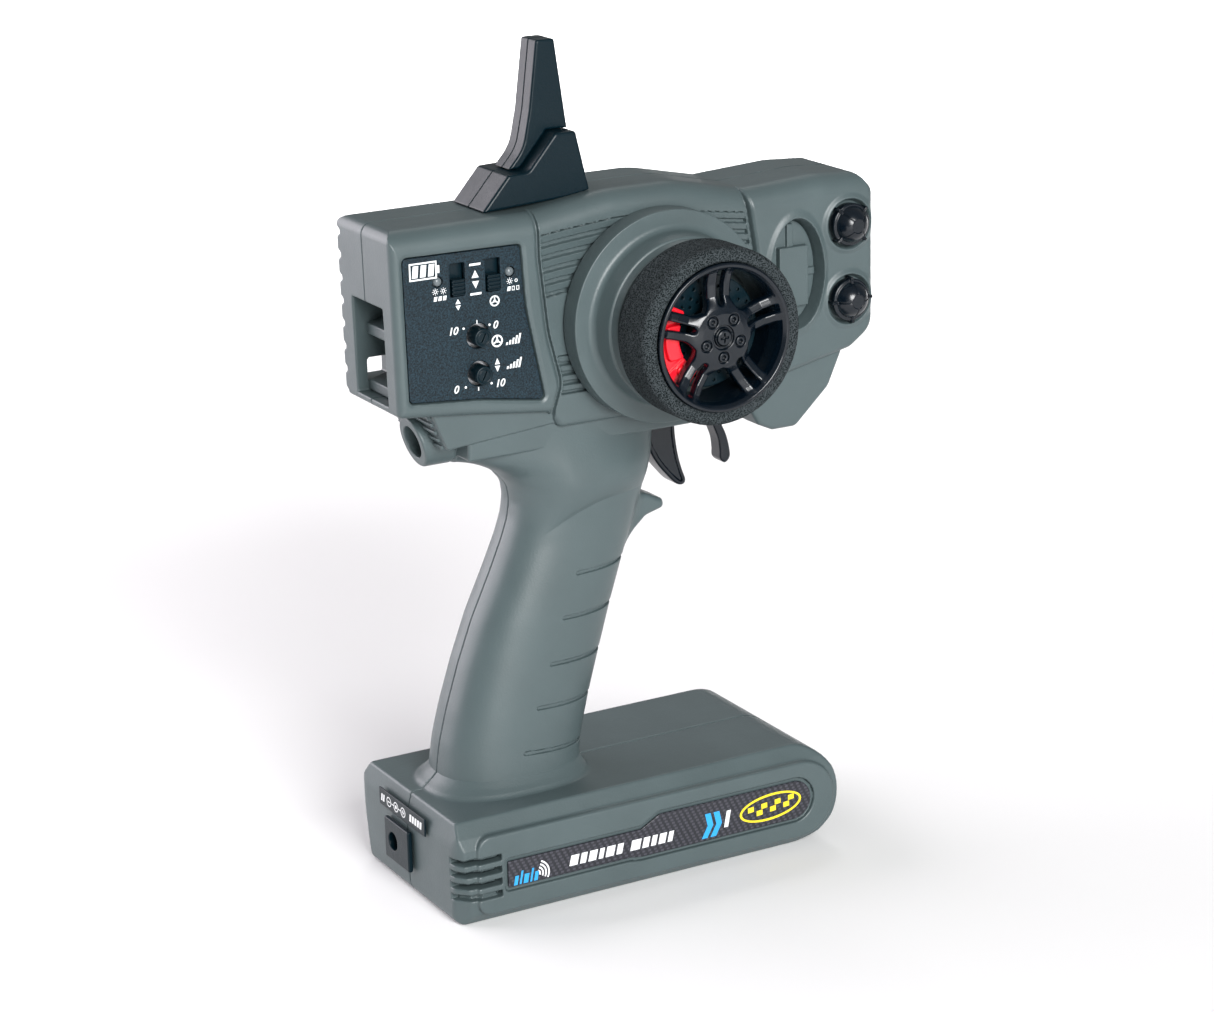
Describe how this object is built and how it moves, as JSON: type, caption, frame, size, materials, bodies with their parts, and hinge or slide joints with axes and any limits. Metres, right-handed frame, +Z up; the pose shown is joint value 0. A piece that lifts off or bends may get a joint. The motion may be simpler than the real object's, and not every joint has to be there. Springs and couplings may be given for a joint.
{
  "type": "pistol-grip radio transmitter",
  "caption": "Hand-held pistol-grip radio transmitter for model cars, with a foam-tyred steering wheel, throttle trigger, trim knobs and blade antenna.",
  "frame": {"origin": "centre of the base's underside, where the transmitter stands", "axes": "+Z up towards the antenna's tip, +X forward, -Y towards the steering wheel"},
  "size_m": [0.178, 0.1004, 0.28],
  "materials": {
    "body_gray": "satin",
    "panel_black": "satin",
    "satin_black": "satin",
    "gloss_black": "gloss",
    "foam": "matte",
    "red_plastic": "gloss",
    "lamp_gray": "gloss",
    "label_print": "gloss",
    "steel": "satin",
    "cast_metal": "satin",
    "cell_jacket": "gloss",
    "board_green": "satin"
  },
  "bodies": {
    "body": {"housing_right": "body_gray", "housing_left": "body_gray", "panel_plate": "panel_black", "reverse_switch_throttle": "satin_black", "reverse_switch_steering": "satin_black", "dual_rate_pot_steering": "cast_metal", "trim_pot_steering": "cast_metal", "dual_rate_pot_throttle": "cast_metal", "trim_pot_throttle": "cast_metal", "lamp_full": "lamp_gray", "lamp_low": "lamp_gray", "steering_cover": "body_gray", "shaft_bush": "satin_black", "centring_spring": "steel", "steering_pot": "cast_metal", "trigger_pin": "steel", "trigger_spring": "steel", "trigger_pot": "cast_metal", "switch_surround": "body_gray", "power_switch_body": "satin_black", "antenna_base_right": "satin_black", "antenna_base_left": "satin_black", "antenna_blade_right": "satin_black", "antenna_blade_left": "satin_black", "recess_insert": "body_gray", "strap_tube": "body_gray", "charge_socket": "satin_black", "rear_strip": "satin_black", "side_label": "label_print", "base_cover_plate": "body_gray", "battery_cell_1": "cell_jacket", "battery_cell_2": "cell_jacket", "battery_cell_3": "cell_jacket", "battery_cell_4": "cell_jacket", "contact_plate_left": "steel", "contact_plate_right": "steel", "main_board": "board_green", "radio_board": "board_green", "housing_screw_1": "steel", "housing_screw_2": "steel", "housing_screw_3": "steel", "housing_screw_4": "steel", "housing_screw_5": "steel"},
    "wheel": {"wheel_rim": "gloss_black", "foam_tyre": "foam", "brake_disc": "satin_black", "brake_caliper": "red_plastic", "hub_screw": "gloss_black", "wheel_shaft": "steel"},
    "trigger": {"trigger": "gloss_black"},
    "trim_steering": {"trim_knob_steering": "gloss_black"},
    "trim_throttle": {"trim_knob_throttle": "gloss_black"},
    "dual_rate_steering": {"dual_rate_knob_steering": "gloss_black"},
    "dual_rate_throttle": {"dual_rate_knob_throttle": "gloss_black"},
    "reverse_throttle": {"reverse_slider_throttle": "satin_black"},
    "reverse_steering": {"reverse_slider_steering": "satin_black"},
    "power_slider": {"power_slider": "satin_black"},
    "battery_door": {"battery_door": "body_gray"}
  },
  "joints": [
    {"name": "steering_turn", "type": "hinge", "parent": "body", "child": "wheel", "pos_m": [0.0153, -0.05, 0.1906], "axis": [0, 1, 0], "range_deg": [-40, 40], "stiffness_Nm_per_rad": 0.15},
    {"name": "trigger_pull", "type": "hinge", "parent": "body", "child": "trigger", "pos_m": [0.031, 0, 0.167], "axis": [0, 1, 0], "range_deg": [-9, 13], "stiffness_Nm_per_rad": 0.4},
    {"name": "trim_steering_turn", "type": "hinge", "parent": "body", "child": "trim_steering", "pos_m": [0.0884, -0.022, 0.2108], "axis": [0, 1, 0], "range_deg": [-140, 140]},
    {"name": "trim_throttle_turn", "type": "hinge", "parent": "body", "child": "trim_throttle", "pos_m": [0.0884, -0.022, 0.1852], "axis": [0, 1, 0], "range_deg": [-140, 140]},
    {"name": "dual_rate_steering_turn", "type": "hinge", "parent": "body", "child": "dual_rate_steering", "pos_m": [-0.0499, -0.02, 0.192], "axis": [0, 1, 0], "range_deg": [-140, 140]},
    {"name": "dual_rate_throttle_turn", "type": "hinge", "parent": "body", "child": "dual_rate_throttle", "pos_m": [-0.0499, -0.02, 0.1798], "axis": [0, 1, 0], "range_deg": [-140, 140]},
    {"name": "reverse_throttle_slide", "type": "slide", "parent": "body", "child": "reverse_throttle", "axis": [0, 0, 1], "range_m": [0, 0.0046]},
    {"name": "reverse_steering_slide", "type": "slide", "parent": "body", "child": "reverse_steering", "axis": [0, 0, 1], "range_m": [0, 0.0046]},
    {"name": "power_slide", "type": "slide", "parent": "body", "child": "power_slider", "axis": [0, 0, 1], "range_m": [-0.004, 0]},
    {"name": "battery_door_slide", "type": "slide", "parent": "body", "child": "battery_door", "axis": [1, 0, 0], "range_m": [0, 0.012]}
  ]
}
